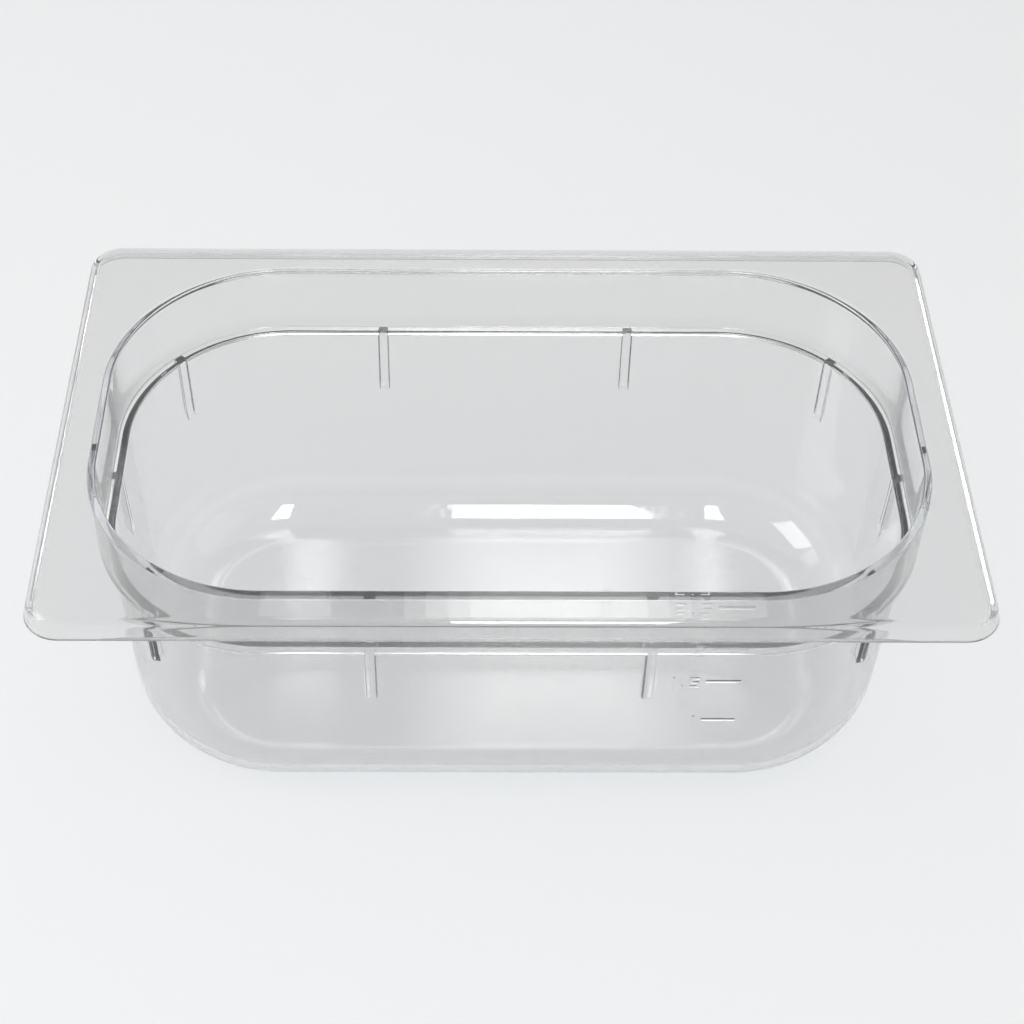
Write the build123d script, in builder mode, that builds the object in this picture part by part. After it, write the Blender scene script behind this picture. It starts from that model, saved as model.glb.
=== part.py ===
from build123d import *
from math import atan, degrees, pi, radians, sqrt, tan
import os

# Clear gastronorm food pan, size 1/4, 100 mm deep, in millimetres.
# It is one injection moulding. Each region of it that does a job of its own is a solid of its own,
# and the solids meet face to face.
# +Z is up and +X runs along the long side. The origin is the middle of the underside.

# Driving dimensions
PAN_HEIGHT = 100.0
RIM_LENGTH = 265.0
RIM_WIDTH = 162.0
RIM_CORNER_RADIUS = 10.5
RIM_HEIGHT = 6.2
LIP_FLARE = 1.5
RIM_EDGE_RADIUS = 2.8
WALL = 2.2
OPENING_LENGTH = 237.6
OPENING_WIDTH = 135.0
OPENING_CORNER_RADIUS = 50.5
MOUTH_EDGE_RADIUS = 0.6
COLLAR_DEPTH = 23.0
SHOULDER_STEP = 3.0
SHOULDER_EDGE_RADIUS = 0.5
BASIN_DRAFT = 2.2
BASIN_BOTTOM_RADIUS = 22.0
FLOOR_MARGIN = 1.0
LUG_HEIGHT = 23.0
LUG_WIDTH = 2.8
LUG_PROJECTION = 2.0
LUG_SPACING = 79.0
MARK_RAISE = 0.35
MARK_LINE_LENGTH = 10.0
MARK_LINE_WIDTH = 0.8
MARK_LINE_MIDDLE = 61.0
NUMERAL_HEIGHT = 4.4
NUMERAL_WIDTH = 2.6
NUMERAL_PITCH = 3.5
NUMERAL_STROKE = 0.6
NUMERAL_END = 54.0
NUMERAL_DROP = 0.5
LITRE_MARKS = [1.0, 1.5, 2.0, 2.5]

# Heights above the underside
rim_bottom = PAN_HEIGHT - RIM_HEIGHT
flange_bottom = PAN_HEIGHT - WALL
shoulder_top = PAN_HEIGHT - COLLAR_DEPTH
shoulder_bottom = shoulder_top - WALL
lug_bottom = shoulder_bottom - LUG_HEIGHT

# The corners of the opening, collar, shoulder and basin share these centres
corner_centre_x = OPENING_LENGTH / 2 - OPENING_CORNER_RADIUS
corner_centre_y = OPENING_WIDTH / 2 - OPENING_CORNER_RADIUS

# Corner radii round those centres
collar_outer_radius = OPENING_CORNER_RADIUS + WALL
basin_inner_radius = OPENING_CORNER_RADIUS - SHOULDER_STEP
basin_outer_radius = basin_inner_radius + WALL
draft_slope = tan(radians(BASIN_DRAFT))
floor_radius = basin_outer_radius - shoulder_bottom * draft_slope - BASIN_BOTTOM_RADIUS - FLOOR_MARGIN


def oval(corner_radius, mode=Mode.ADD):
    """The round-cornered outline, round the shared centres, whose corners have this radius."""
    length = 2 * (corner_centre_x + corner_radius)
    width = 2 * (corner_centre_y + corner_radius)
    return RectangleRounded(length, width, corner_radius, mode=mode)


def oval_ring(outer_radius, inner_radius, bottom, top):
    """An upright ring between two such outlines."""
    with BuildPart() as ring:
        with BuildSketch(Plane.XY.offset(bottom)):
            oval(outer_radius)
            oval(inner_radius, mode=Mode.SUBTRACT)
        extrude(amount=top - bottom)
    return ring.part


def rim_block(inset, top):
    """The flared block from the lip's lower edge up to a height, inset from the rim's outline."""
    with BuildPart() as block:
        with BuildSketch(Plane.XY.offset(rim_bottom)):
            length = RIM_LENGTH - 2 * inset
            width = RIM_WIDTH - 2 * inset
            RectangleRounded(length, width, RIM_CORNER_RADIUS - inset)
        extrude(amount=top - rim_bottom, taper=degrees(atan(LIP_FLARE / RIM_HEIGHT)))
    return block.part


def basin_block(corner_radius, bottom, bottom_radius=0):
    """The drafted block from the shoulder's underside down to a height, with a round bottom edge."""
    with BuildPart() as block:
        with BuildSketch(Plane.XY.offset(shoulder_bottom)):
            oval(corner_radius)
        extrude(amount=bottom - shoulder_bottom, taper=BASIN_DRAFT)
        if bottom_radius:
            fillet(block.faces().sort_by(Axis.Z)[0].edges(), bottom_radius)
    return block.part


def inner_radius_at(height):
    """The corner radius of the pan's inside at a height above the underside."""
    if height > shoulder_top:
        return OPENING_CORNER_RADIUS
    radius = basin_inner_radius - (shoulder_bottom - height) * draft_slope
    bend = BASIN_BOTTOM_RADIUS - WALL
    below_bend = bend - (height - WALL)
    if below_bend > 0:
        radius -= bend - sqrt(bend**2 - below_bend**2)
    return radius


def fill_height(litres):
    """The height above the underside that this much liquid fills the pan to."""
    step = 0.1
    height = WALL
    volume = 0.0
    while volume < litres * 1e6:
        radius = inner_radius_at(height + step / 2)
        straight = 4 * (corner_centre_x * corner_centre_y + (corner_centre_x + corner_centre_y) * radius)
        volume += (straight + pi * radius**2) * step
        height += step
    return height


def numeral(figure):
    """One figure of the scale, or its decimal point, drawn in straight strokes round its middle."""
    side = (NUMERAL_WIDTH - NUMERAL_STROKE) / 2
    end = (NUMERAL_HEIGHT - NUMERAL_STROKE) / 2
    if figure == ".":
        with Locations((0, -end)):
            Rectangle(NUMERAL_STROKE, NUMERAL_STROKE)
        return
    across = {"1": [], "2": [-end, 0, end], "5": [-end, 0, end]}
    upright = {
        "1": [(side, -end / 2), (side, end / 2)],
        "2": [(-side, -end / 2), (side, end / 2)],
        "5": [(side, -end / 2), (-side, end / 2)],
    }
    with Locations(*[(0, height) for height in across[figure]]):
        Rectangle(NUMERAL_WIDTH, NUMERAL_STROKE)
    with Locations(*upright[figure]):
        Rectangle(NUMERAL_STROKE, end + NUMERAL_STROKE)


def finish(builder, name):
    """Label one finished piece and write it."""
    builder.part.label = name
    export_step(builder.part, f"parts/{name}.step")


os.makedirs("parts", exist_ok=True)
rim_outside = rim_block(0, PAN_HEIGHT)
basin_outside = basin_block(basin_outer_radius, 0, BASIN_BOTTOM_RADIUS)

# Rim body: the flared block with a round top edge that the flange and the lip are cut from
with BuildPart() as rim_body:
    add(rim_outside)
    fillet(rim_body.faces().sort_by(Axis.Z)[-1].edges(), RIM_EDGE_RADIUS)

# Rim flange: the flat plate round the opening, with a round outer edge
with BuildPart() as rim_flange:
    add(rim_body.part)
    split(bisect_by=Plane.XY.offset(flange_bottom), keep=Keep.TOP)
    with BuildSketch(Plane.XY.offset(PAN_HEIGHT)):
        oval(OPENING_CORNER_RADIUS)
    extrude(amount=-WALL, mode=Mode.SUBTRACT)
    fillet(rim_flange.faces().sort_by(Axis.Z)[-1].inner_wires()[0].edges(), MOUTH_EDGE_RADIUS)
finish(rim_flange, "rim_flange")

# Rim lip: the flared skirt that hangs from the flange's outer edge
with BuildPart() as rim_lip:
    add(rim_body.part)
    split(bisect_by=Plane.XY.offset(flange_bottom), keep=Keep.BOTTOM)
    add(rim_block(WALL, flange_bottom), mode=Mode.SUBTRACT)
finish(rim_lip, "rim_lip")

# Collar: the upright wall between the flange and the shoulder
with BuildPart() as collar:
    add(oval_ring(collar_outer_radius, OPENING_CORNER_RADIUS, shoulder_top, flange_bottom))
finish(collar, "collar")

# Stacking shoulder: the step that the lugs of the pan above stand on
with BuildPart() as stacking_shoulder:
    add(oval_ring(collar_outer_radius, basin_inner_radius, shoulder_bottom, shoulder_top))
    outer_edges = stacking_shoulder.faces().sort_by(Axis.Z)[0].outer_wire().edges()
    inner_edges = stacking_shoulder.faces().sort_by(Axis.Z)[-1].inner_wires()[0].edges()
    fillet(outer_edges + inner_edges, SHOULDER_EDGE_RADIUS)
finish(stacking_shoulder, "stacking_shoulder")

# Basin floor: the flat plate inside the round bottom edge
with BuildPart() as basin_floor:
    with BuildSketch():
        oval(floor_radius)
    extrude(amount=WALL)
finish(basin_floor, "basin_floor")

# Basin walls: the drafted wall and its round bottom edge, as four straight panels and four corners
with BuildPart() as basin_shell:
    add(basin_outside)
    add(basin_block(basin_inner_radius, WALL, BASIN_BOTTOM_RADIUS - WALL), mode=Mode.SUBTRACT)
    add(basin_floor.part, mode=Mode.SUBTRACT)

basin_panels = {
    "basin_front": (0, -1),
    "basin_back": (0, 1),
    "basin_left": (-1, 0),
    "basin_right": (1, 0),
    "basin_corner_front_left": (-1, -1),
    "basin_corner_front_right": (1, -1),
    "basin_corner_back_left": (-1, 1),
    "basin_corner_back_right": (1, 1),
}
for name, (side_x, side_y) in basin_panels.items():
    length = basin_outer_radius if side_x else 2 * corner_centre_x
    width = basin_outer_radius if side_y else 2 * corner_centre_y
    middle_x = side_x * (corner_centre_x + basin_outer_radius / 2)
    middle_y = side_y * (corner_centre_y + basin_outer_radius / 2)
    with BuildPart() as basin_panel:
        with BuildSketch():
            with Locations((middle_x, middle_y)):
                Rectangle(length, width)
        extrude(amount=shoulder_bottom)
        add(basin_shell.part, mode=Mode.INTERSECT)
    finish(basin_panel, name)

# Stacking lugs: ribs under the shoulder, two on each long side, one at each corner and end
lug_spots = []
for side_y in (-1, 1):
    for side_x in (-1, 1):
        long_side_y = side_y * (corner_centre_y + basin_outer_radius)
        lug_spots.append((side_x * LUG_SPACING / 2, long_side_y, (0, side_y)))
        corner_reach = basin_outer_radius * sqrt(0.5)
        corner_x = side_x * (corner_centre_x + corner_reach)
        corner_y = side_y * (corner_centre_y + corner_reach)
        lug_spots.append((corner_x, corner_y, (side_x, side_y)))
for side_x in (-1, 1):
    lug_spots.append((side_x * (corner_centre_x + basin_outer_radius), 0, (side_x, 0)))

with BuildPart() as lug_layer:
    add(basin_block(basin_outer_radius + LUG_PROJECTION, 0))
    add(basin_outside, mode=Mode.SUBTRACT)

wall_setback = LUG_HEIGHT * draft_slope
for number, (spot_x, spot_y, (out_x, out_y)) in enumerate(lug_spots, start=1):
    lug_plane = Plane(origin=(spot_x, spot_y, 0), x_dir=(out_x, out_y, 0), z_dir=(out_y, -out_x, 0))
    with BuildPart() as stacking_lug:
        with BuildSketch(lug_plane):
            with BuildLine():
                Polyline(
                    (-LUG_PROJECTION, shoulder_bottom),
                    (LUG_PROJECTION, shoulder_bottom),
                    (LUG_PROJECTION, lug_bottom + LUG_PROJECTION + wall_setback),
                    (-LUG_PROJECTION, lug_bottom - LUG_PROJECTION + wall_setback),
                    close=True,
                )
            make_face()
        extrude(amount=LUG_WIDTH / 2, both=True)
        add(lug_layer.part, mode=Mode.INTERSECT)
    finish(stacking_lug, f"stacking_lug_{number}")

# Litre scale: raised lines and numerals on the outside of the front wall
with BuildPart() as mark_layer:
    add(basin_block(basin_outer_radius + MARK_RAISE, 0))
    add(basin_outside, mode=Mode.SUBTRACT)
    collar_foot = shoulder_bottom + SHOULDER_EDGE_RADIUS
    add(oval_ring(collar_outer_radius + MARK_RAISE, collar_outer_radius, collar_foot, flange_bottom))

mark_plane = Plane.XZ.offset(corner_centre_y)
mark_depth = collar_outer_radius + WALL

with BuildPart() as scale_lines:
    with BuildSketch(mark_plane):
        for litres in LITRE_MARKS:
            with Locations((MARK_LINE_MIDDLE, fill_height(litres))):
                Rectangle(MARK_LINE_LENGTH, MARK_LINE_WIDTH)
    extrude(amount=mark_depth)
    add(mark_layer.part, mode=Mode.INTERSECT)
finish(scale_lines, "scale_lines")

with BuildPart() as scale_numerals:
    with BuildSketch(mark_plane):
        for litres in LITRE_MARKS:
            for place, figure in enumerate(reversed(f"{litres:g}")):
                figure_x = NUMERAL_END - NUMERAL_WIDTH / 2 - place * NUMERAL_PITCH
                with Locations((figure_x, fill_height(litres) - NUMERAL_DROP)):
                    numeral(figure)
    extrude(amount=mark_depth)
    add(mark_layer.part, mode=Mode.INTERSECT)
finish(scale_numerals, "scale_numerals")
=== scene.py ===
import bmesh
import bpy
import math
import numpy as np
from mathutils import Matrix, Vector


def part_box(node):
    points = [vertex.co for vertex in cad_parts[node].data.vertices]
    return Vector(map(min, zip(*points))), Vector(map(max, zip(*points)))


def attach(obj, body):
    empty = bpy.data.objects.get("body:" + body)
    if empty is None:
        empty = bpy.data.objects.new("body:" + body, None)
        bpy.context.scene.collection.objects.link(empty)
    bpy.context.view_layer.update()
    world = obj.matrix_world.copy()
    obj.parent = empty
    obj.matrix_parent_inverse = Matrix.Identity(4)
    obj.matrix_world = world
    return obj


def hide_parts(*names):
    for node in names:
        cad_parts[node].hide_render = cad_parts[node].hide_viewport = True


# Clear polycarbonate food pan on a pale floor. Everything is in metres, in the frame of the CAD model.
# The pan is one moulding, so it is drawn as one seamless skin that stands for all of its CAD nodes:
# where two clear solids meet face to face, the faces between them would show as mirrors.

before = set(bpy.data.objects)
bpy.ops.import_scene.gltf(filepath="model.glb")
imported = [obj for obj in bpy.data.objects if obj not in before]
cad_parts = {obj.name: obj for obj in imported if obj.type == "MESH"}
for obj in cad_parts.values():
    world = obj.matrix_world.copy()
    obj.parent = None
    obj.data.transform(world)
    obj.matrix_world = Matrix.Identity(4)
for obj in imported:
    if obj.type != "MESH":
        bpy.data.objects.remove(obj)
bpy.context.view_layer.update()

MM = 0.001

# Sizes that the CAD boxes don't give
BASIN_DRAFT = math.radians(2.2)
DRAFT_SLOPE = math.tan(BASIN_DRAFT)
LIP_FLARE = 1.5 * MM
RIM_CORNER_RADIUS = 10.5 * MM
RIM_EDGE_RADIUS = 2.8 * MM
MOUTH_EDGE_RADIUS = 0.6 * MM
SHOULDER_EDGE_RADIUS = 0.5 * MM
BASIN_BOTTOM_RADIUS = 22 * MM
MARK_RAISE = 0.35 * MM

# Small fillets that the CAD model leaves out
INNER_CORNER_RADIUS = 0.5 * MM
BASIN_HEAD_RADIUS = 0.25 * MM
UNDER_CORNER_RADIUS = 1.0 * MM
LIP_EDGE_RADIUS = 0.8 * MM

# A lug across its width: how many mm from its middle, and what share of its projection it has there
LUG_PROJECTION = 2.0 * MM
LUG_SIDE = [(0, 1), (1.15, 1), (1.33, 0.965), (1.40, 0.87), (1.52, 0.13), (1.60, 0.035), (1.80, 0), (2.2, 0)]
LUG_PLACES = [place * MM for place, _ in LUG_SIDE]
LUG_SHARES = [share for _, share in LUG_SIDE]

# No evenly spaced station stands in this stretch beside a lug's middle, because the lug's own columns do
LUG_CLEARANCE = (0.9 * MM, 2.6 * MM)

# How finely the skin is divided. A guard is a point that stands this near the end of a straight stretch,
# or at most this share of the way along it.
EDGE_GUARD = 0.4 * MM
LARGEST_GUARD_SHARE = 0.25
STRAIGHT_STEPS = 10
END_STEPS = 5
ARC_STEPS = 66
RIM_CORNER_STEPS = 24
RIM_EDGE_STEPS = 16
SMALL_BEND_STEPS = 8
BASIN_HEAD_STEPS = 6
BOTTOM_BEND_STEPS = 18
FLANGE_SHARES = (0.04, 0.25, 0.5, 0.75, 0.96)
SHARP_ANGLE = math.radians(55)

# How far the extra rows at a lug's slanting foot are above its lowest point
LUG_FOOT_RISES = [3.0 * MM, 2.25 * MM, 1.95 * MM, 0.2 * MM, -0.1 * MM, -EDGE_GUARD]

# Shares of the corner's arc: the stretch of fine stations that faces the rim's corner, and how far from
# the arc's middle the evenly spaced ones stay
RIM_CORNER_SPAN = (0.43, 0.57)
EVEN_STATION_CLEARANCE = 0.075

# Tolerances
PLACE_DIGITS = 7
TINY = 1e-9
SKIN_WELD = 2e-6
MARK_WELD = 1e-6
SHORTEST_EDGE = 1e-7

# Plastic
PLASTIC_COLOR = (0.85, 0.845, 0.842, 1)
PLASTIC_IOR = 1.585
PLASTIC_TRANSMISSION = 0.97
PASSED_COLOR = (0.975, 0.98, 0.98, 1)
DEPTH_COLOR = (0.10, 0.28, 0.48, 1)
DEPTH_DENSITY = 6.0
HAZE_ROUGHNESS = (0.006, 0.012)
SCUFF_ROUGHNESS = 0.08
SCRATCH_ROUGHNESS = 0.12
LIP_SCUFF_HEIGHT = 2 * MM
BASE_SCUFF_HEIGHT = 1.5 * MM
WAVE_HEIGHT = 0.003 * MM
GRAIN_HEIGHT = 0.0002 * MM
SCRATCH_DEPTH = 0.001 * MM
SCRATCH_STRETCH = (40, 6000, 6000)

# Floor
FLOOR_HALF = 40.0
FLOOR_DROP = 0.05 * MM
FLOOR_COLOR = (0.92, 0.92, 0.92, 1)
FLOOR_ROUGHNESS = (0.75, 0.9)
FLOOR_SPECULAR = 0.2

# Sky: its colour, its strength low down and overhead, and how high up it stops changing
SKY_COLOR = (0.98, 0.99, 1.0, 1)
SKY_STRENGTH = (1.16, 0.56)
SKY_TOP = 0.6

# Panels: name, place, aim, size along x and y, power
PANELS = [
    ("left_panel", (-1.3, -0.1, 1.1), (0, 0, 0), (0.8, 0.8), 6),
    ("right_panel", (1.3, -0.1, 1.1), (0, 0, 0), (1.2, 1.2), 1.2),
    ("overhead", (0.07, -0.48, 1.2), (0.07, -0.48, 0), (0.186, 0.64), 3.0),
]

# Soft lights behind the pan that face straight down: place, size along x and y, power.
# Each is a stack of lamps of growing size, one layer apart, so its edge is soft.
BACK_LIGHTS = [
    ((0.10, 1.30, 1.5), (0.26, 0.40), 1.15),
    ((-0.21, 1.36, 1.5), (0.06, 0.30), 0.17),
    ((0.31, 1.36, 1.5), (0.05, 0.30), 0.14),
    ((0.03, 1.66, 1.5), (0.46, 0.17), 1.3),
]
SOFT_SHARES = (0.6, 0.8, 1.0, 1.2, 1.4)
LIGHT_LAYER = 0.004

# The camera stands in front of the pan and above it. It is turned in degrees.
CAMERA_PLACE = (-0.0137, -0.4423, 0.5186)
CAMERA_TURN = (43.88, -0.56, -0.30)
CAMERA_LENS = 72.95
CAMERA_SHIFT = (0.0268, 0.0042)
CAMERA_NEAR = 10 * MM

# Light crosses many clear walls and is trapped in the edges before it gets out
BOUNCES = 40


class PanSizes:
    """The sizes that the pan's skin needs, read from the boxes of the CAD nodes."""

    def __init__(self):
        lip_low, lip_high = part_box("rim_lip")
        collar_low, collar_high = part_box("collar")
        lug_low, lug_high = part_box("stacking_lug_1")
        right_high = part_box("basin_right")[1]
        self.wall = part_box("basin_floor")[1].z
        self.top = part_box("rim_flange")[1].z
        self.lip_bottom = lip_low.z
        self.rim_half = (lip_high.x, lip_high.y)
        self.shoulder_top = collar_low.z
        self.shoulder_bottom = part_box("stacking_shoulder")[0].z
        self.centre = (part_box("basin_front")[1].x, right_high.y)
        self.collar_outer = collar_high.x - self.centre[0]
        self.collar_inner = self.collar_outer - self.wall
        self.basin_outer = right_high.x - self.centre[0]
        self.basin_inner = self.basin_outer - self.wall
        self.lug_bottom = lug_low.z
        self.side_lug_x = abs(lug_low.x + lug_high.x) / 2


pan = PanSizes()


# The section through the pan's wall. A point is (how far out from the corner centre, height).
def bend(centre, radius, start, end, steps):
    """Points on a round stretch, from one angle to another, in degrees."""
    angles = np.radians(np.linspace(start, end, steps + 1))
    return [(centre[0] + radius * math.cos(a), centre[1] + radius * math.sin(a)) for a in angles]


def run(start, end):
    """The middle of a straight stretch, and a point near each end to keep its shading flat."""
    start, end = np.array(start), np.array(end)
    guard = min(EDGE_GUARD / np.linalg.norm(end - start), LARGEST_GUARD_SHARE)
    return [tuple(start + (end - start) * share) for share in (guard, 0.5, 1 - guard)]


def joined(*stretches):
    """Stretches end to end, with a straight run put in between each two."""
    points = list(stretches[0])
    for stretch in stretches[1:]:
        points += run(points[-1], stretch[0])
        points += stretch
    return points


def wall_at(outward, height):
    """How far out a drafted wall is at a height, where outward is its place at the shoulder."""
    return outward - (pan.shoulder_bottom - height) * DRAFT_SLOPE


def basin_bend(outward, bottom, radius):
    """The flat bottom's edge and the round stretch up to the drafted wall."""
    centre_height = bottom + radius
    centre_out = wall_at(outward, centre_height) - radius / math.cos(BASIN_DRAFT)
    edge = bend((centre_out, centre_height), radius, -90, -math.degrees(BASIN_DRAFT), BOTTOM_BEND_STEPS)
    return [(centre_out - EDGE_GUARD, bottom)] + edge


def inner_section():
    """The inside, from the floor up to the mouth's edge."""
    basin_edge = (pan.basin_inner + SHOULDER_EDGE_RADIUS, pan.shoulder_top - SHOULDER_EDGE_RADIUS)
    collar_foot = (pan.collar_inner - INNER_CORNER_RADIUS, pan.shoulder_top + INNER_CORNER_RADIUS)
    mouth_edge = (pan.collar_inner + MOUTH_EDGE_RADIUS, pan.top - MOUTH_EDGE_RADIUS)
    return joined(
        basin_bend(pan.basin_inner, pan.wall, BASIN_BOTTOM_RADIUS - pan.wall),
        [(pan.basin_inner, pan.shoulder_bottom)],
        bend(basin_edge, SHOULDER_EDGE_RADIUS, 180, 90, SMALL_BEND_STEPS),
        bend(collar_foot, INNER_CORNER_RADIUS, -90, 0, SMALL_BEND_STEPS),
        bend(mouth_edge, MOUTH_EDGE_RADIUS, 180, 90, SMALL_BEND_STEPS),
    )


def outer_section():
    """The outside below the rim, from the flange's underside down to the flat bottom."""
    collar_head = (pan.collar_outer + INNER_CORNER_RADIUS, pan.top - pan.wall - INNER_CORNER_RADIUS)
    collar_edge = (pan.collar_outer - SHOULDER_EDGE_RADIUS, pan.shoulder_bottom + SHOULDER_EDGE_RADIUS)
    basin_head = (pan.basin_outer + BASIN_HEAD_RADIUS, pan.shoulder_bottom - BASIN_HEAD_RADIUS)
    foot_heights = [pan.lug_bottom + rise for rise in LUG_FOOT_RISES]
    return joined(
        bend(collar_head, INNER_CORNER_RADIUS, 90, 180, SMALL_BEND_STEPS),
        bend(collar_edge, SHOULDER_EDGE_RADIUS, 0, -90, SMALL_BEND_STEPS),
        bend(basin_head, BASIN_HEAD_RADIUS, 90, 180, BASIN_HEAD_STEPS),
        [(wall_at(pan.basin_outer, height), height) for height in foot_heights],
        basin_bend(pan.basin_outer, 0, BASIN_BOTTOM_RADIUS)[::-1],
    )


def rim_section():
    """The rim, from the flange's top edge round the lip to the flange's underside. Inset, height."""
    flare = LIP_FLARE / (pan.top - pan.lip_bottom)
    lean = math.degrees(math.atan(flare))
    under = pan.top - pan.wall

    def inset_at(height):
        return (height - pan.lip_bottom) * flare

    outer_edge = (inset_at(pan.top - RIM_EDGE_RADIUS) + RIM_EDGE_RADIUS, pan.top - RIM_EDGE_RADIUS)
    lip_outer = (LIP_EDGE_RADIUS, pan.lip_bottom + LIP_EDGE_RADIUS)
    lip_inner = (pan.wall - LIP_EDGE_RADIUS, pan.lip_bottom + LIP_EDGE_RADIUS)
    under_corner = (inset_at(under) + pan.wall + UNDER_CORNER_RADIUS, under - UNDER_CORNER_RADIUS)
    return joined(
        bend(outer_edge, RIM_EDGE_RADIUS, 90, 180 - lean, RIM_EDGE_STEPS),
        bend(lip_outer, LIP_EDGE_RADIUS, 180 - lean, 270, SMALL_BEND_STEPS),
        bend(lip_inner, LIP_EDGE_RADIUS, -90, -lean, SMALL_BEND_STEPS),
        bend(under_corner, UNDER_CORNER_RADIUS, 180 - lean, 90, SMALL_BEND_STEPS),
    )


# The outline round the pan. Stations run from the middle of the back to the middle of the right end.
def clear_of_lug(distances):
    """The distances from a lug's middle that aren't beside the columns of its sides."""
    return [d for d in distances if not LUG_CLEARANCE[0] < abs(d) < LUG_CLEARANCE[1]]


def lug_share(distance):
    """What share of a lug's projection there is at a distance from its middle."""
    return float(np.interp(abs(distance), LUG_PLACES, LUG_SHARES))


def lug_columns():
    """Distances from a lug's middle where its sides need a column, on both sides."""
    return [-place for place in LUG_PLACES[:0:-1]] + LUG_PLACES


def near_lug(middle, others):
    """Places along the outline, with those beside a lug changed for the columns of its sides."""
    distances = clear_of_lug([place - middle for place in others]) + lug_columns()
    return sorted({round(middle + distance, PLACE_DIGITS) for distance in distances})


def quarter_stations():
    """(corner centre, outward direction, lug share) round a quarter of the pan."""
    stations = []
    long_half, short_half = pan.centre
    for x in near_lug(pan.side_lug_x, np.linspace(0, long_half, STRAIGHT_STEPS + 1)[:-1]):
        stations.append(((x, short_half), (0, 1), lug_share(x - pan.side_lug_x)))

    arc_length = pan.basin_outer * math.pi / 2
    rim_corner = np.linspace(*RIM_CORNER_SPAN, RIM_CORNER_STEPS + 1) * arc_length
    evenly = np.linspace(0, arc_length, ARC_STEPS + 1)
    others = [place for place in evenly if abs(place / arc_length - 0.5) > EVEN_STATION_CLEARANCE]
    for along in near_lug(arc_length / 2, others + list(rim_corner)):
        angle = math.pi / 2 - along / pan.basin_outer
        outward = (math.cos(angle), math.sin(angle))
        stations.append((pan.centre, outward, lug_share(along - arc_length / 2)))

    end_places = clear_of_lug(np.linspace(0, short_half, END_STEPS + 1)[1:-1]) + lug_columns()
    for y in sorted(end_places, reverse=True):
        if 0 <= y < short_half:
            stations.append(((long_half, y), (1, 0), lug_share(y)))
    return stations


def rim_reach(start, direction, inset):
    """How far the rim's outline, set in by a distance, is from a point in a direction."""
    half = [size - inset for size in pan.rim_half]
    corner = [size - RIM_CORNER_RADIUS for size in pan.rim_half]
    to_end = (half[0] - start[0]) / direction[0] if direction[0] > TINY else math.inf
    if start[1] + to_end * direction[1] <= corner[1]:
        return to_end
    to_side = (half[1] - start[1]) / direction[1] if direction[1] > TINY else math.inf
    if start[0] + to_side * direction[0] <= corner[0]:
        return to_side
    away = (start[0] - corner[0], start[1] - corner[1])
    along = away[0] * direction[0] + away[1] * direction[1]
    apart = away[0] ** 2 + away[1] ** 2 - (RIM_CORNER_RADIUS - inset) ** 2
    return -along + math.sqrt(along**2 - apart)


# The skin. A row is (reach of the oval, inset of the rim, share from oval to rim, height).
def flange_rows(oval_end, rim_end):
    """Rows across the flange, between a point of the oval section and a point of the rim."""
    return [(oval_end[0], rim_end[0], share, oval_end[1]) for share in FLANGE_SHARES]


def skin_rows():
    """Every row from the inside floor over the rim to the underside, and which is the first outer one."""
    inner, rim, outer = inner_section(), rim_section(), outer_section()
    rows = [(reach, 0, 0, height) for reach, height in inner]
    rows += flange_rows(inner[-1], rim[0])
    rows += [(0, inset, 1, height) for inset, height in rim]
    rows += flange_rows(outer[0], rim[-1])[::-1]
    rows += [(reach, 0, 0, height) for reach, height in outer]
    return rows, len(rows) - len(outer)


def station_point(station, row, is_outer):
    """The skin's point where a row meets a station, in the quarter behind and to the right."""
    start, direction, share_of_lug = station
    oval_reach, inset, share, height = row
    if is_outer and pan.lug_bottom < height <= pan.shoulder_bottom + TINY:
        projection = min(LUG_PROJECTION, height - pan.lug_bottom) * share_of_lug
        if projection > 0:
            oval_reach = max(oval_reach, wall_at(pan.basin_outer, height) + projection)
    reach = oval_reach
    if share > 0:
        reach = oval_reach * (1 - share) + rim_reach(start, direction, inset) * share
    return (start[0] + direction[0] * reach, start[1] + direction[1] * reach, height)


def ring_of(quarter):
    """All the way round: the quarter, mirrored to the front, the left and the back."""
    quarter = np.array(quarter)
    back = quarter[::-1]
    return np.concatenate([
        quarter,
        (back * (1, -1, 1))[1:-1],
        quarter * (-1, -1, 1),
        (back * (-1, 1, 1))[1:-1],
    ])


def skin_mesh():
    """The pan's skin without its litre scale, as one closed mesh."""
    stations = quarter_stations()
    rows, first_outer = skin_rows()
    skin = bmesh.new()
    rings = []
    for number, row in enumerate(rows):
        quarter = [station_point(station, row, number >= first_outer) for station in stations]
        rings.append([skin.verts.new(point) for point in ring_of(quarter)])
    for ring, next_ring in zip(rings, rings[1:]):
        for k in range(len(ring)):
            skin.faces.new((ring[k - 1], ring[k], next_ring[k], next_ring[k - 1]))
    skin.faces.new(rings[0])
    skin.faces.new(rings[-1])
    bmesh.ops.remove_doubles(skin, verts=skin.verts, dist=SKIN_WELD)
    bmesh.ops.dissolve_degenerate(skin, edges=skin.edges, dist=SHORTEST_EDGE)
    bmesh.ops.recalc_face_normals(skin, faces=skin.faces)
    mesh = bpy.data.meshes.new("pan")
    skin.to_mesh(mesh)
    skin.free()
    return mesh


def add_object(name, data):
    """An object with that mesh, light or camera, in the scene's own collection."""
    made = bpy.data.objects.new(name, data)
    bpy.context.scene.collection.objects.link(made)
    return made


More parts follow.
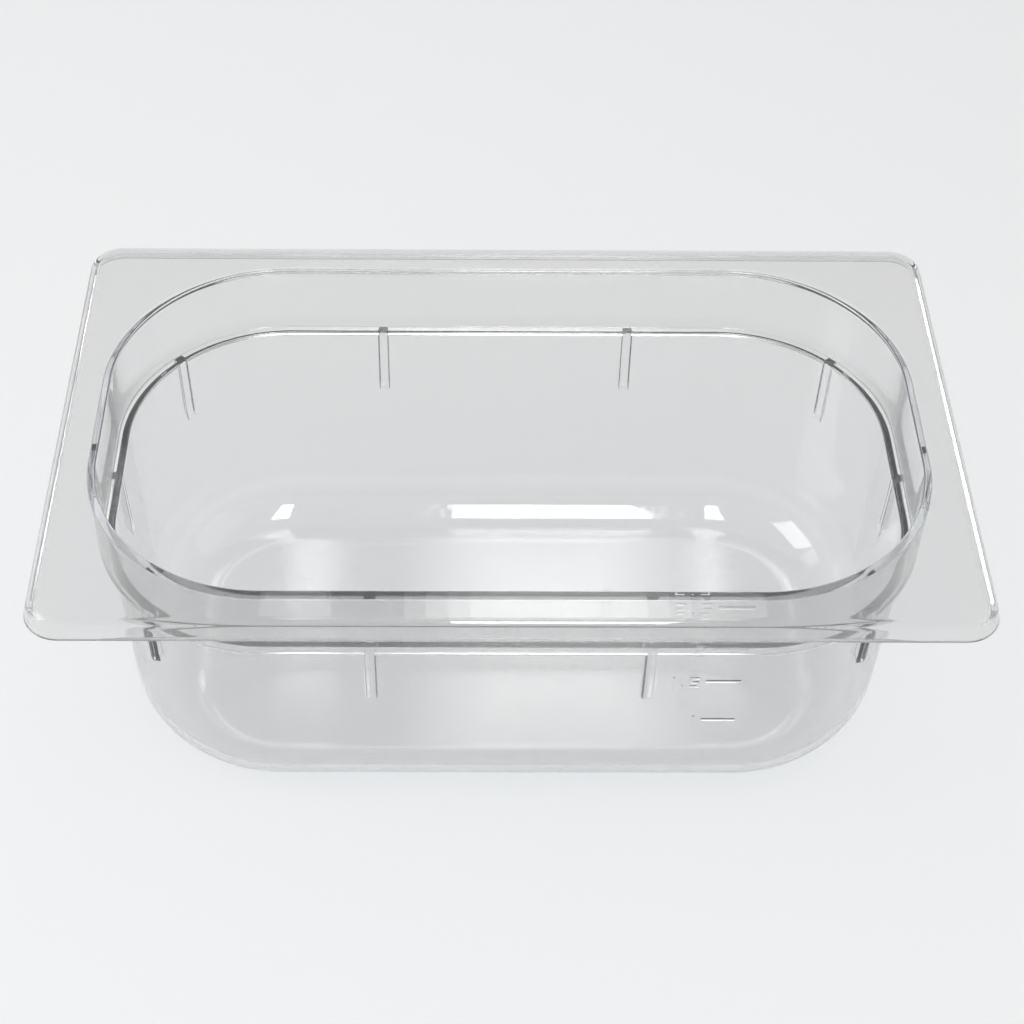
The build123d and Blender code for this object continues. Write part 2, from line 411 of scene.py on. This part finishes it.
def scale_mark(name):
    """A copy of one CAD node of the litre scale, with its back sunk into the wall behind it."""
    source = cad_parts[name]
    shape = bmesh.new()
    corners = [shape.verts.new(source.matrix_world @ vertex.co) for vertex in source.data.vertices]
    for polygon in source.data.polygons:
        shape.faces.new([corners[k] for k in polygon.vertices])
    bmesh.ops.remove_doubles(shape, verts=shape.verts, dist=MARK_WELD)
    for vertex in shape.verts:
        on_collar = vertex.co.z > pan.shoulder_bottom
        wall = pan.collar_outer if on_collar else wall_at(pan.basin_outer, vertex.co.z)
        if -vertex.co.y - pan.centre[1] - wall < MARK_RAISE / 2:
            vertex.co.y += MARK_RAISE
    mesh = bpy.data.meshes.new("sunk_" + name)
    shape.to_mesh(mesh)
    shape.free()
    return add_object(mesh.name, mesh)


def make_pan():
    """The whole pan in one piece, with the litre scale joined on."""
    made = add_object("food_pan", skin_mesh())
    marks = [scale_mark("scale_lines"), scale_mark("scale_numerals")]
    for mark in marks:
        union = made.modifiers.new("union", "BOOLEAN")
        union.operation = "UNION"
        union.solver = "EXACT"
        union.object = mark
    evaluated = made.evaluated_get(bpy.context.evaluated_depsgraph_get())
    joined_mesh = bpy.data.meshes.new_from_object(evaluated)
    made.modifiers.clear()
    made.data = joined_mesh
    for mark in marks:
        bpy.data.objects.remove(mark)
    joined_mesh.materials.clear()
    joined_mesh.shade_smooth()
    joined_mesh.set_sharp_from_angle(angle=SHARP_ANGLE)
    return made


# Materials
def new_material(name):
    """An empty material, its node tree and its output."""
    material = bpy.data.materials.new(name)
    material.use_nodes = True
    tree = material.node_tree
    tree.nodes.clear()
    return material, tree, tree.nodes.new("ShaderNodeOutputMaterial")


def node(tree, kind, **values):
    """A node with its inputs and settings given by name. A linked input is given as a socket."""
    made = tree.nodes.new(kind)
    for name, value in values.items():
        socket = made.inputs.get(name.replace("_", " "))
        if socket is None:
            setattr(made, name, value)
        elif isinstance(value, bpy.types.NodeSocket):
            tree.links.new(value, socket)
        else:
            socket.default_value = value
    return made


def math_node(tree, operation, first, second):
    """The result of a sum, product or other operation on two values or sockets."""
    made = tree.nodes.new("ShaderNodeMath")
    made.operation = operation
    for socket, value in zip(made.inputs, (first, second)):
        if isinstance(value, bpy.types.NodeSocket):
            tree.links.new(value, socket)
        else:
            socket.default_value = value
    return made.outputs[0]


def remap(tree, value, low, high, to_low=0, to_high=1):
    """A value taken smoothly from one range to another, and kept inside it."""
    made = node(tree, "ShaderNodeMapRange", interpolation_type="SMOOTHSTEP", Value=value)
    for name, limit in zip(("From Min", "From Max", "To Min", "To Max"), (low, high, to_low, to_high)):
        made.inputs[name].default_value = limit
    return made.outputs["Result"]


def noise(tree, place, scale, detail):
    """Noise of that many lumps to the metre."""
    return node(tree, "ShaderNodeTexNoise", Vector=place, Scale=scale, Detail=detail).outputs[0]


def scratches(tree, place, turn, seed):
    """Fine straight scratches that run along one direction, patchy along their length."""
    stretched = node(tree, "ShaderNodeMapping", Vector=place)
    stretched.inputs["Rotation"].default_value = turn
    stretched.inputs["Location"].default_value = (seed, 0, 0)
    stretched.inputs["Scale"].default_value = SCRATCH_STRETCH
    lines = noise(tree, stretched.outputs[0], scale=1, detail=1.0)
    return remap(tree, lines, low=0.7, high=0.75)


def bump(tree, height, distance, strength, **values):
    """The normal over a relief that is that high."""
    made = node(tree, "ShaderNodeBump", Height=height, Distance=distance, Strength=strength, **values)
    return made.outputs[0]


def scuffs(tree, place):
    """Patches of wear along the lip's lower edge and on the flat that the pan stands on."""
    height = node(tree, "ShaderNodeSeparateXYZ", Vector=place).outputs["Z"]
    near_rim_edge = remap(tree, height, low=pan.lip_bottom + LIP_SCUFF_HEIGHT, high=pan.lip_bottom)
    near_base = remap(tree, height, low=BASE_SCUFF_HEIGHT, high=0)
    worn = math_node(tree, "MAXIMUM", near_rim_edge, near_base)
    patchy = remap(tree, noise(tree, place, scale=420, detail=3.0), low=0.45, high=0.62)
    return math_node(tree, "MULTIPLY", worn, patchy)


def plastic_roughness(tree, place, scratched):
    """Nearly polished, and rougher where the plastic is scuffed or scratched."""
    clouds = noise(tree, place, scale=22, detail=3.0)
    haze = remap(tree, clouds, 0.4, 0.7, *HAZE_ROUGHNESS)
    from_scuffs = math_node(tree, "MULTIPLY", scuffs(tree, place), SCUFF_ROUGHNESS)
    from_scratches = math_node(tree, "MULTIPLY", scratched, SCRATCH_ROUGHNESS)
    return math_node(tree, "ADD", math_node(tree, "ADD", from_scuffs, haze), from_scratches)


def plastic_relief(tree, place, scratched):
    """The normal, with gentle moulding waves, a fine grain and the scratches."""
    waves = bump(tree, noise(tree, place, scale=28, detail=1.0), WAVE_HEIGHT, strength=1.0)
    grain = bump(tree, noise(tree, place, scale=900, detail=2.0), GRAIN_HEIGHT, strength=1.0, Normal=waves)
    return bump(tree, scratched, SCRATCH_DEPTH, strength=0.5, Normal=grain)


def let_light_pass(tree, surface):
    """The surface, seen by diffuse and shadow rays as a clear pane, so light reaches the floor."""
    light_path = tree.nodes.new("ShaderNodeLightPath")
    passed = node(tree, "ShaderNodeBsdfTransparent", Color=PASSED_COLOR)
    for kind in ("Is Diffuse Ray", "Is Shadow Ray"):
        mixed = node(tree, "ShaderNodeMixShader", Fac=light_path.outputs[kind])
        tree.links.new(surface, mixed.inputs[1])
        tree.links.new(passed.outputs[0], mixed.inputs[2])
        surface = mixed.outputs[0]
    return surface


def clear_plastic():
    """Polycarbonate: clear, faintly blue in the depth, with gentle moulding waves and light wear."""
    material, tree, output = new_material("clear_polycarbonate")
    place = tree.nodes.new("ShaderNodeTexCoord").outputs["Object"]
    long_scratches = scratches(tree, place, turn=(0.3, 0.2, 0.5), seed=0.7)
    cross_scratches = scratches(tree, place, turn=(0.1, -0.4, 1.9), seed=2.3)
    scratched = math_node(tree, "MAXIMUM", long_scratches, cross_scratches)

    plastic = node(tree, "ShaderNodeBsdfPrincipled", IOR=PLASTIC_IOR)
    plastic.inputs["Base Color"].default_value = PLASTIC_COLOR
    plastic.inputs["Transmission Weight"].default_value = PLASTIC_TRANSMISSION
    tree.links.new(plastic_roughness(tree, place, scratched), plastic.inputs["Roughness"])
    tree.links.new(plastic_relief(tree, place, scratched), plastic.inputs["Normal"])
    tree.links.new(let_light_pass(tree, plastic.outputs[0]), output.inputs["Surface"])

    depth = node(tree, "ShaderNodeVolumeAbsorption", Color=DEPTH_COLOR, Density=DEPTH_DENSITY)
    tree.links.new(depth.outputs[0], output.inputs["Volume"])
    return material


def floor_paint():
    """A plain, pale, matt floor."""
    material, tree, output = new_material("floor")
    place = tree.nodes.new("ShaderNodeTexCoord").outputs["Object"]
    clouds = noise(tree, place, scale=6, detail=3.0)
    rough = remap(tree, clouds, 0.3, 0.7, *FLOOR_ROUGHNESS)
    paint = node(tree, "ShaderNodeBsdfPrincipled", Roughness=rough)
    paint.inputs["Base Color"].default_value = FLOOR_COLOR
    paint.inputs["Specular IOR Level"].default_value = FLOOR_SPECULAR
    tree.links.new(paint.outputs[0], output.inputs["Surface"])
    return material


# The surroundings
def add_floor():
    """A wide floor just under the pan."""
    mesh = bpy.data.meshes.new("floor")
    outline = [(-1, -1), (1, -1), (1, 1), (-1, 1)]
    mesh.from_pydata([(FLOOR_HALF * x, FLOOR_HALF * y, 0) for x, y in outline], [], [(0, 1, 2, 3)])
    made = add_object("floor", mesh)
    made.location.z = -FLOOR_DROP
    mesh.materials.append(floor_paint())
    return made


def add_light(name, place, aim, size, power):
    """A soft rectangular light that faces a point."""
    lamp = bpy.data.lights.new(name, "AREA")
    lamp.shape = "RECTANGLE"
    lamp.size, lamp.size_y = size
    lamp.energy = power
    made = add_object(name, lamp)
    made.location = place
    made.rotation_euler = (Vector(aim) - Vector(place)).to_track_quat("-Z", "Y").to_euler()


def add_back_light(place, size, power):
    """A stack of lamps that face straight down. Power goes by area, so all are equally bright."""
    x, y, z = place
    for layer, share in enumerate(SOFT_SHARES):
        layer_place = (x, y, z + layer * LIGHT_LAYER)
        layer_size = (size[0] * share, size[1] * share)
        add_light("back_light", layer_place, (x, y, 0), layer_size, power * share**2 / len(SOFT_SHARES))


def set_sky():
    """A studio that is white low down and greyer overhead."""
    sky = bpy.data.worlds.new("studio")
    bpy.context.scene.world = sky
    sky.use_nodes = True
    tree = sky.node_tree
    tree.nodes.clear()
    output = tree.nodes.new("ShaderNodeOutputWorld")
    direction = tree.nodes.new("ShaderNodeTexCoord").outputs["Generated"]
    up = node(tree, "ShaderNodeSeparateXYZ", Vector=direction).outputs["Z"]
    shine = node(tree, "ShaderNodeBackground", Strength=remap(tree, up, 0.0, SKY_TOP, *SKY_STRENGTH))
    shine.inputs["Color"].default_value = SKY_COLOR
    tree.links.new(shine.outputs[0], output.inputs["Surface"])


def add_camera():
    """The camera, made the scene's own."""
    camera = add_object("camera", bpy.data.cameras.new("camera"))
    camera.location = CAMERA_PLACE
    camera.rotation_euler = [math.radians(turn) for turn in CAMERA_TURN]
    camera.data.lens = CAMERA_LENS
    camera.data.shift_x, camera.data.shift_y = CAMERA_SHIFT
    camera.data.clip_start = CAMERA_NEAR
    bpy.context.scene.camera = camera


def set_light_paths():
    """Plain colours, enough bounces for the clear walls, and no caustics."""
    bpy.context.scene.view_settings.view_transform = "Standard"
    cycles = bpy.context.scene.cycles
    cycles.max_bounces = BOUNCES
    cycles.transmission_bounces = BOUNCES
    cycles.transparent_max_bounces = BOUNCES
    cycles.caustics_reflective = False
    cycles.caustics_refractive = False


food_pan = make_pan()
food_pan.data.materials.append(clear_plastic())
floor = add_floor()
set_sky()
for panel in PANELS:
    add_light(*panel)
for back_light in BACK_LIGHTS:
    add_back_light(*back_light)
add_camera()
set_light_paths()

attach(food_pan, "root")
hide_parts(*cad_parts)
